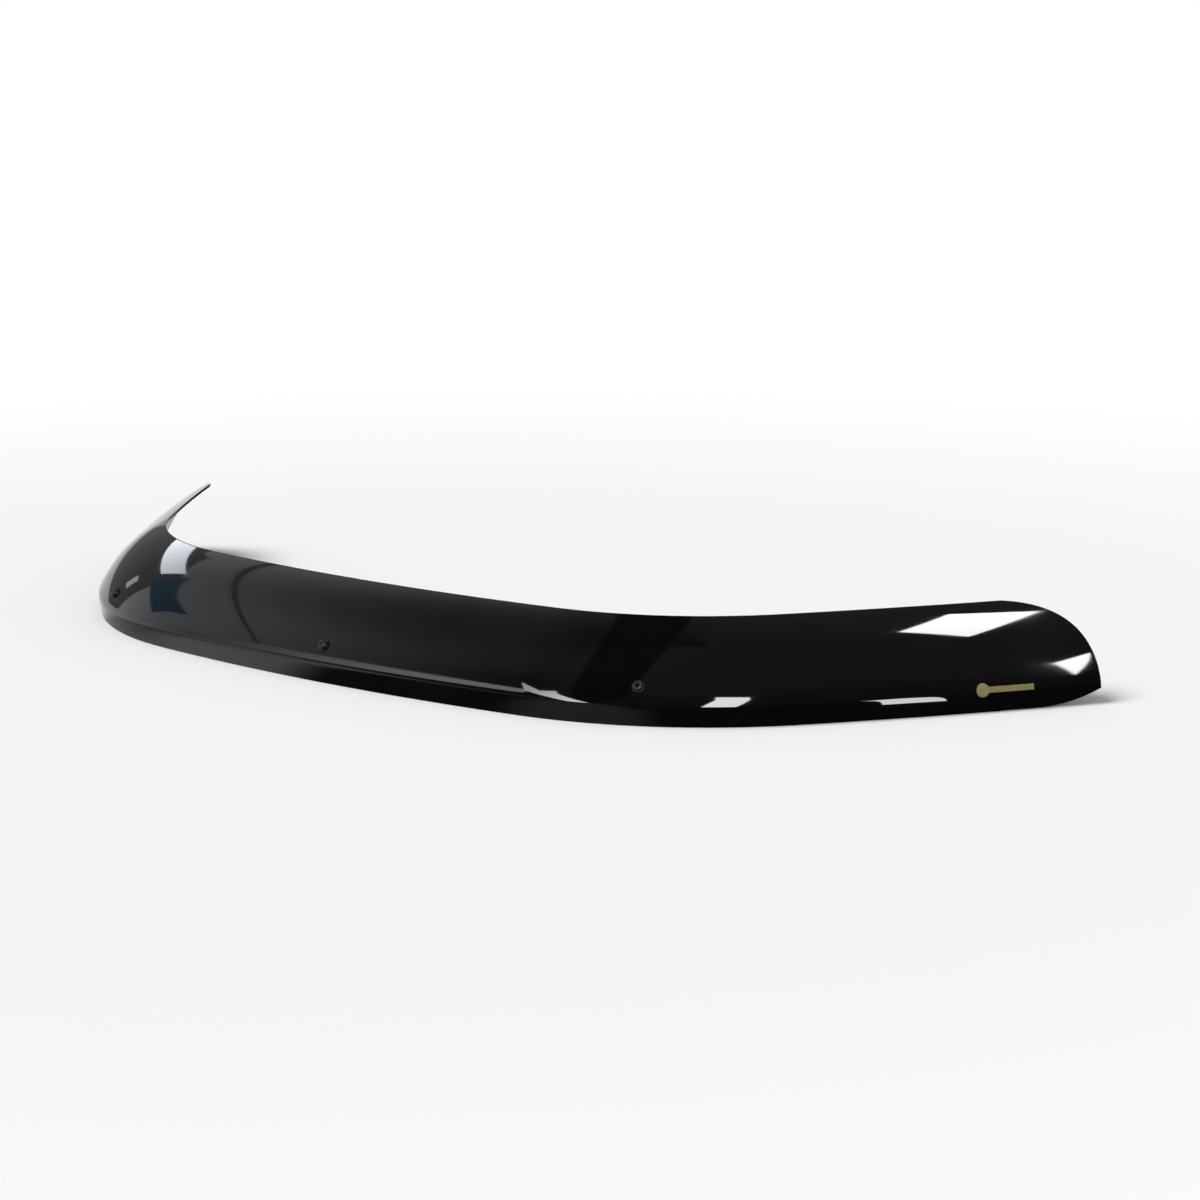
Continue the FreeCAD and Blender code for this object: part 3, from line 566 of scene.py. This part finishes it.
def sweep(bm, loop, centre, angle, count):
    """Carries a loop of edges round a centre in plan, and gives the last loop."""
    made = bmesh.ops.spin(bm, geom=loop, cent=centre, axis=UP, angle=angle, steps=count)
    return [item for item in made["geom_last"] if isinstance(item, bmesh.types.BMEdge)]


def end_turns(count):
    """Turns between the sections of a wing end, smaller towards the tip."""
    places = [
        (1 - i / count) ** END_CROWDING * END_LENGTH / WING_RADIUS for i in range(count + 1)
    ]
    return [places[i] - places[i + 1] for i in range(count)]


def panel_limit(before_tip, radius):
    """Angle at which the quarter ellipse ends the wall at this radius, this turn before the tip."""
    x = WING_RADIUS * sin(before_tip)
    top = PANEL_CENTRE.y + PANEL_RADIUS * cos(PANEL_END) + WALL + END_OVERRUN
    share = (END_LENGTH - x) / (END_LENGTH + END_OVERRUN)
    reach = (top + CROWN_RADIUS) * sqrt(max(0.0, 1 - max(0.0, share) ** 2)) - CROWN_RADIUS
    depth = reach - WING_RADIUS * (1 - cos(before_tip))
    return max(PANEL_END, acos(min(1.0, (depth - PANEL_CENTRE.y) / radius)))


def lip_limit(before_tip):
    """Length of the lip where the run-out arc ends it, this turn before the tip."""
    x = WING_RADIUS * sin(before_tip)
    deep = LIP_LENGTH + CROWN_RADIUS * sin(LIP_LEAN)
    rise = deep - TIP_DEPTH
    radius = (LIP_RUN**2 + rise**2) / (2 * rise)
    run = max(0.0, LIP_RUN - x)
    low = -deep + radius - sqrt(radius**2 - run**2)
    bend_low = CROWN_RADIUS * sin(LIP_ANGLE)
    return min(LIP_LENGTH + EDGE_ROUND, (bend_low - low) / cos(LIP_LEAN))


def squeeze(amount, full, limit, rim):
    """Shortens a run to a limit and keeps the rounded rim at its end as it is."""
    if amount > full - rim:
        return amount - full + limit
    return amount * (limit - rim) / (full - rim)


def shape_wing_end(bm):
    """Draws the panel in to its quarter ellipse and the lip up to its run-out, vertex by vertex."""
    lip_down = Vector((-sin(LIP_ANGLE), cos(LIP_ANGLE)))
    rim_turn = EDGE_ROUND / PANEL_RADIUS
    for vert in bm.verts:
        from_centre = vert.co - WING_CENTRE
        heading = atan2(from_centre.x, -from_centre.y)
        before_tip = TIP_HEADING - heading
        before_end = before_tip > END_LENGTH / WING_RADIUS + HEADING_MARGIN
        if before_end or vert.co.x < SHOULDER_CENTRE.x:
            continue
        depth = WING_RADIUS - from_centre.xy.length
        flat = Vector((depth, vert.co.z))
        on_lip = flat.dot(lip_down)
        from_panel = flat - PANEL_CENTRE.yz
        angle = atan2(from_panel.y, from_panel.x)
        if on_lip > 0:
            full = LIP_LENGTH + EDGE_ROUND
            flat += lip_down * (squeeze(on_lip, full, lip_limit(before_tip), EDGE_ROUND) - on_lip)
        elif 0 < angle < BEND_START:
            full = PANEL_TURN + rim_turn
            limit = BEND_START - panel_limit(before_tip, from_panel.length) + rim_turn
            turned = BEND_START - squeeze(BEND_START - angle, full, limit, rim_turn)
            flat = PANEL_CENTRE.yz + from_panel.length * Vector((cos(turned), sin(turned)))
        outwards = from_centre.xy.normalized() * (WING_RADIUS - flat.x)
        vert.co = (WING_CENTRE.x + outwards.x, WING_CENTRE.y + outwards.y, flat.y)


def make_shield():
    """Sweeps the section along the left half, closes its tip, mirrors it and drills it."""
    bm = bmesh.new()
    loop = draw_section(bm)
    loop = sweep(bm, loop, FRONT_CENTRE, FRONT_TURN, FRONT_STEPS)
    loop = sweep(bm, loop, SHOULDER_CENTRE, SHOULDER_TURN, SHOULDER_STEPS)
    loop = sweep(bm, loop, WING_CENTRE, WING_TURN - END_LENGTH / WING_RADIUS, WING_STEPS)
    for turn in end_turns(END_STEPS):
        loop = sweep(bm, loop, WING_CENTRE, turn, 1)
    shape_wing_end(bm)
    cap = bmesh.ops.contextual_create(bm, geom=loop)["faces"]
    rim = [edge for face in cap for edge in face.edges]
    bmesh.ops.bevel(
        bm, geom=rim, offset=TIP_ROUND, segments=TIP_STEPS, profile=0.5, affect="EDGES", material=-1
    )
    half = bm.verts[:] + bm.edges[:] + bm.faces[:]
    bmesh.ops.mirror(bm, geom=half, axis="X", merge_dist=MERGE)
    bmesh.ops.recalc_face_normals(bm, faces=bm.faces)
    bmesh.ops.transform(bm, matrix=TO_ROW, verts=bm.verts)
    piece = new_piece("deflector_shield", bm, "shield_acrylic", "shield")
    cut_screw_holes(piece)
    keep_flats_flat(piece)


def station(heading, side):
    """Place on the plan line at this heading: x along it, y inwards, z up."""
    if heading > 0:
        spot = SHOULDER_CENTRE + SHOULDER_RADIUS * outward(heading)
    else:
        spot = Vector((0, 0, 0))
    turn = Matrix.Rotation(side * heading, 4, "Z")
    return TO_ROW @ Matrix.Translation((side * spot.x, spot.y, 0)) @ turn


def on_panel(rise, depth):
    """Place in a station: z out of the panel, y up it, this far below its outer face."""
    lean = PANEL_LEAN - rise
    angle = pi / 2 + lean
    spot = PANEL_CENTRE + (PANEL_RADIUS - depth) * Vector((0, cos(angle), sin(angle)))
    return Matrix.Translation(spot) @ Matrix.Rotation(lean, 4, "X")


STATIONS = {
    "centre": station(0, 1),
    "left": station(SIDE_HEADING, 1),
    "right": station(SIDE_HEADING, -1),
}


def cut_screw_holes(piece):
    drills = bmesh.new()
    for place in STATIONS.values():
        add_rod(drills, ROUND_STEPS, HOLE_RADIUS, DRILL_LENGTH, place @ on_panel(FIX_RISE, WALL / 2))
    cut_away(piece, drills)


make_shield()


# Screws: threaded shank, domed head and hexagon socket


def draw_screw(bm):
    """Half section of a screw, spun about its axis: the head's seat is at z = 0."""
    core = SCREW_RADIUS - THREAD_DEPTH
    tip = bm.verts.new((0, 0, -SCREW_LENGTH))
    end = run_straight(bm, tip, Vector((0, core, 0)), 1)
    for _ in range(THREAD_TURNS):
        end = run_straight(bm, end, Vector((0, THREAD_DEPTH, PITCH / 2)), 1)
        end = run_straight(bm, end, Vector((0, -THREAD_DEPTH, PITCH / 2)), 1)
    end = run_straight(bm, end, Vector((0, THREAD_DEPTH, PITCH / 2)), 1)
    end = run_straight(bm, end, Vector((0, 0, -end.co.z)), 1)
    end = run_straight(bm, end, Vector((0, HEAD_RADIUS - HEAD_RIM - SCREW_RADIUS, 0)), 1)
    end = run_straight(bm, end, Vector((0, HEAD_RIM, HEAD_RIM)), 1)
    end = run_straight(bm, end, Vector((0, 0, HEAD_SIDE - HEAD_RIM)), 1)
    rise = HEAD_HEIGHT - HEAD_SIDE
    width = HEAD_RADIUS - HEAD_FLAT
    dome = (width**2 + rise**2) / (2 * width)
    swing = atan2(rise, dome - width)
    end = run_round(bm, end, (0, HEAD_RADIUS - dome, HEAD_SIDE), swing, DOME_STEPS)
    run_straight(bm, end, Vector((0, -end.co.y, 0)), 1)
    section = bm.verts[:] + bm.edges[:]
    bmesh.ops.spin(
        bm, geom=section, cent=(0, 0, 0), axis=UP, angle=2 * pi, steps=ROUND_STEPS, use_merge=True
    )
    bmesh.ops.remove_doubles(bm, verts=bm.verts, dist=MERGE)
    bmesh.ops.recalc_face_normals(bm, faces=bm.faces)


def draw_socket(bm):
    """Hexagon prism that stands half in the head."""
    radius = SOCKET_FLATS / (2 * cos(pi / SOCKET_SIDES))
    middle = Matrix.Translation((0, 0, HEAD_HEIGHT))
    add_rod(bm, SOCKET_SIDES, radius, 2 * SOCKET_DEPTH, middle)


def make_screw(name, place):
    bm = bmesh.new()
    draw_screw(bm)
    seat = place @ on_panel(FIX_RISE, -SEAT_GAP - WASHER_THICK)
    bmesh.ops.transform(bm, matrix=seat, verts=bm.verts)
    piece = new_piece(f"{name}_socket_screw", bm, "dark_steel", f"{name}_screw")
    socket = bmesh.new()
    draw_socket(socket)
    bmesh.ops.transform(socket, matrix=seat, verts=socket.verts)
    cut_away(piece, socket)
    mark_sharp(piece)


for name, place in STATIONS.items():
    make_screw(name, place)


# Studio: floor, world, sun, cards for the reflections, and camera

WHITE = (1, 1, 1, 1)
BLACK = (0, 0, 0, 1)
FLOOR_HEIGHT = packed_bounds[0][2]
FLOOR_REACH = 12.0
FLOOR_COLOUR = (0.86, 0.86, 0.86, 1)
FLOOR_ROUGHNESS = 0.9
SHADOW_REACH = 0.9
WHITE_REACH = 2.4
CAMERA_PLACE = (2.6996, -2.7340, 0.8520)
CAMERA_AIM = (0.1295, 0.2808, 0.0463)
CAMERA_ROLL = radians(-0.5)
CAMERA_LENS = 107.0
AROUND_LIGHT = (0.42, 0.42, 0.42, 1)
SUN_LIGHT = 2.4
SUN_SPREAD = radians(35)
SUN_PLACE = (-1.2, -1.6, 3.0)

# The floor in reflections, by x: bright to the right with a dip, dark to the left with a patch

FLOOR_GLOW = 0.85
LEFT_LOSS = 0.83
LEFT_RISE = (-0.10, 0.0)
PATCH_GAIN = 0.25
PATCH_RISE = (0.22, 0.30)
PATCH_FALL = (0.38, 0.44)
DIP_LOSS = 0.48
DIP_RISE = (-0.50, -0.42)
DIP_FALL = (-0.36, -0.24)

# Behind the shield the floor is even: there y is past a cubic of the distance off the middle
# plane, which follows the front, and past a straight line, which follows each wing

BEHIND_GLOW = 0.45
FRONT_BEND = 1.05
FRONT_LINE = 0.02
WING_SLOPE = 1.55
WING_LINE = 0.68

# The room in reflections is pale to the right and dark elsewhere, a little less dark overhead

PALE_SPAN = (0.55, 1.0)
DARK_SPAN = (0.6, 0.8)
DARK_LOW = (0.05, 0.05, 0.055, 1)
DARK_HIGH = (0.12, 0.12, 0.13, 1)

# How bright the pale side stands by height: 0 is level, 1 is overhead

PALE_SIDE = [
    (0.00, (0.90, 0.92, 0.95, 1)),
    (0.45, (0.75, 0.77, 0.80, 1)),
    (0.59, (0.58, 0.60, 0.62, 1)),
    (0.67, (0.39, 0.40, 0.42, 1)),
    (0.73, (0.22, 0.23, 0.25, 1)),
    (0.79, (0.13, 0.14, 0.15, 1)),
    (0.91, (0.06, 0.06, 0.07, 1)),
    (1.00, (0.03, 0.03, 0.03, 1)),
]

# A wide dark strip and a thin dark hoop across that room: each edge is a cone of directions

STRIP_NEAR_AXIS = Vector((0.949, 0.275, -0.152))
STRIP_NEAR_COSINE = -0.484
STRIP_FAR_AXIS = Vector((-0.883, -0.395, 0.254))
STRIP_FAR_COSINE = 0.373
STRIP_SHARE = 0.95
HOOP_AXIS = Vector((-0.980, 0.067, -0.188))
HOOP_COSINE = 0.630
HOOP_THICKNESS = 0.0025
HOOP_SHARE = 0.8

# Each card: its corners in turn, its brightness at its lowest and highest x, and its colour

PANE = (0.88, 0.94, 1, 1)
BLUE = (0.35, 0.68, 1, 1)
CARDS = {
    "wing_top_card": (
        ((0.79, 0.88, 1.94), (0.40, 1.30, 1.83), (0.61, 1.38, 1.82), (1.14, 0.83, 1.92)),
        (20.0, 20.0),
        WHITE,
    ),
    "wing_end_card": (
        ((2.01, 0.49, 1.53), (1.88, 0.70, 1.64), (2.16, 0.49, 1.40), (2.27, 0.39, 1.27)),
        (25.0, 25.0),
        WHITE,
    ),
    "wing_crown_card": (
        ((0.61, 0.19, -0.01), (0.65, 0.25, -0.01), (1.15, 0.05, -0.01), (1.11, -0.01, -0.01)),
        (15.0, 15.0),
        WHITE,
    ),
    "shoulder_crown_card": (
        ((1.64, -1.56, 0.05), (1.95, -1.28, 0.05), (1.68, -0.76, 1.38), (1.42, -1.02, 1.41)),
        (18.0, 18.0),
        WHITE,
    ),
    "front_crown_card": (
        (
            (-0.66, -1.37, 1.23),
            (-0.20, -1.52, 1.21),
            (0.35, -2.02, 0.02),
            (0.08, -1.98, -0.01),
            (-0.39, -1.48, 1.13),
        ),
        (6.0, 14.0),
        WHITE,
    ),
    "front_strip_card": (
        ((-1.80, -0.98, 0.01), (-1.69, -0.92, 0.76), (-0.45, -1.54, 1.15), (-0.56, -1.75, 0.61)),
        (0.5, 3.0),
        WHITE,
    ),
    "far_pane_card": (
        ((-2.13, 1.17, 0.81), (-2.02, 1.03, 1.08), (-2.04, 0.17, 1.36), (-2.25, 0.26, 1.09)),
        (4.5, 4.5),
        PANE,
    ),
    "far_blue_card": (
        ((-2.40, 0.16, 1.03), (-2.09, 0.04, 1.45), (-2.12, -0.79, 1.09), (-2.36, -0.62, 0.84)),
        (0.3, 0.3),
        BLUE,
    ),
    "far_spot_card": (
        ((-2.67, 0.45, 0.59), (-2.60, 0.45, 0.83), (-2.62, 0.32, 0.83), (-2.69, 0.32, 0.59)),
        (1.5, 1.5),
        WHITE,
    ),
    "far_dark_card": (
        (
            (-2.63, 1.72, 0.18),
            (-2.195, 1.572, 1.443),
            (-2.356, 1.040, 1.504),
            (-2.347, 0.878, 1.674),
            (-2.65, -0.05, 1.72),
            (-3.18, 0.13, 0.18),
        ),
        (0.2, 0.2),
        WHITE,
    ),
}


def floor_glow(tree, x, y):
    """How bright each place of the floor stands in reflections."""
    loss = LEFT_LOSS * ramp(tree, x, *LEFT_RISE)
    patch = PATCH_GAIN * band(tree, x, PATCH_RISE, PATCH_FALL)
    dip = DIP_LOSS * band(tree, x, DIP_RISE, DIP_FALL)
    outside = FLOOR_GLOW - loss + patch - dip
    off_middle = (x * x) ** 0.5
    behind_front = y > FRONT_BEND * off_middle**3 - FRONT_LINE
    behind_wings = y > WING_SLOPE * off_middle - WING_LINE
    return outside + behind_front * behind_wings * (BEHIND_GLOW - outside)


def make_floor():
    """Pale floor that keeps the shadow near the shield and runs out to plain white."""
    bm = bmesh.new()
    bmesh.ops.create_grid(bm, x_segments=1, y_segments=1, size=FLOOR_REACH)
    mesh = new_mesh("studio_floor", bm)
    floor = new_object("studio_floor", mesh)
    floor.location = (0, 0, FLOOR_HEIGHT)

    material, tree = new_material("floor_paint")
    x, y = split(tree, object_place(tree))[:2]
    path = add_node(tree, "ShaderNodeLightPath")
    under = add_node(tree, "ShaderNodeNewGeometry")[BACK_OF_FACE]
    far = ramp(tree, (x * x + y * y) ** 0.5, SHADOW_REACH, WHITE_REACH)
    paint = {"Base Color": FLOOR_COLOUR, "Roughness": FLOOR_ROUGHNESS, "Specular IOR Level": 0.0}
    painted = add_node(tree, "ShaderNodeBsdfPrincipled", None, paint)[0]
    white = emission(tree, WHITE, 1.0)
    unlit = emission(tree, WHITE, 0.0)
    clear = add_node(tree, "ShaderNodeBsdfTransparent")[0]
    shown = mix_shaders(tree, far * path[CAMERA_RAY], painted, white)
    mirrored = mix_shaders(tree, floor_glow(tree, x, y), unlit, white)
    mixed = mix_shaders(tree, path[GLOSSY_RAY], shown, mirrored)
    open_below = mix_shaders(tree, under, mixed, clear)
    add_node(tree, "ShaderNodeOutputMaterial", None, {"Surface": open_below})
    mesh.materials.append(material)


def toward(direction, axis):
    """Cosine between a direction's parts and an axis."""
    x, y, z = direction
    return x * axis.x + y * axis.y + z * axis.z


def make_world():
    """White to the camera, plain light on the object, and the room in its reflections."""
    world = bpy.data.worlds.new("studio")
    bpy.context.scene.world = world
    world.use_nodes = True
    tree = world.node_tree
    tree.nodes.clear()
    path = add_node(tree, "ShaderNodeLightPath")
    direction = split(tree, add_node(tree, "ShaderNodeTexCoord")[DIRECTION])
    x, y, z = direction
    rightwards = (0 - x) / (x * x + y * y) ** 0.5
    side = ramp(tree, rightwards, *PALE_SPAN)
    pale = add_node(tree, "ShaderNodeValToRGB", {"stops": PALE_SIDE}, {"Fac": z})[0]
    dark = blend(tree, ramp(tree, z, *DARK_SPAN), DARK_LOW, DARK_HIGH)
    past_near = toward(direction, STRIP_NEAR_AXIS) > STRIP_NEAR_COSINE
    strip = past_near * (toward(direction, STRIP_FAR_AXIS) > STRIP_FAR_COSINE)
    off_hoop = toward(direction, HOOP_AXIS) - HOOP_COSINE
    hoop = off_hoop * off_hoop < HOOP_THICKNESS**2
    room = blend(tree, side, dark, pale)
    room = blend(tree, strip * STRIP_SHARE, room, BLACK)
    room = blend(tree, hoop * HOOP_SHARE, room, BLACK)
    lit = blend(tree, path[GLOSSY_RAY], AROUND_LIGHT, room)
    colour = blend(tree, path[CAMERA_RAY] + path[TRANSMITTED_RAY], lit, WHITE)
    sky = add_node(tree, "ShaderNodeBackground", None, {"Color": colour, "Strength": 1.0})[0]
    add_node(tree, "ShaderNodeOutputWorld", None, {"Surface": sky})


def facing(place, aim, roll):
    turn = (Vector(aim) - Vector(place)).to_track_quat("-Z", "Y").to_matrix().to_4x4()
    return Matrix.Translation(place) @ turn @ Matrix.Rotation(roll, 4, "Z")


def add_sun():
    """Wide soft sun that lights matt surfaces and leaves the reflections to the cards."""
    data = bpy.data.lights.new("soft_sun", "SUN")
    data.energy = SUN_LIGHT
    data.angle = SUN_SPREAD
    lamp = new_object("soft_sun", data)
    lamp.matrix_world = facing(SUN_PLACE, (0, 0, 0), 0)
    lamp.visible_glossy = False


def add_card(name, corners, brightness, colour):
    """Card that shows in reflections alone: it lights no matt surface and casts no shadow."""
    bm = bmesh.new()
    bmesh.ops.contextual_create(bm, geom=[bm.verts.new(corner) for corner in corners])
    mesh = new_mesh(name, bm)
    material, tree = new_material(name)
    x = split(tree, object_place(tree))[0]
    ends = [corner[0] for corner in corners]
    share = ramp(tree, x, min(ends), max(ends))
    lowest, highest = [emission(tree, colour, strength) for strength in brightness]
    glow = mix_shaders(tree, share, lowest, highest)
    add_node(tree, "ShaderNodeOutputMaterial", None, {"Surface": glow})
    mesh.materials.append(material)
    card = new_object(name, mesh)
    card.visible_camera = False
    card.visible_diffuse = False
    card.visible_shadow = False


def make_camera():
    data = bpy.data.cameras.new("view")
    data.lens = CAMERA_LENS
    camera = new_object("view", data)
    camera.matrix_world = facing(CAMERA_PLACE, CAMERA_AIM, CAMERA_ROLL)
    bpy.context.scene.camera = camera


make_floor()
make_world()
add_sun()
for name, card in CARDS.items():
    add_card(name, *card)
make_camera()
bpy.context.scene.view_settings.view_transform = "Standard"
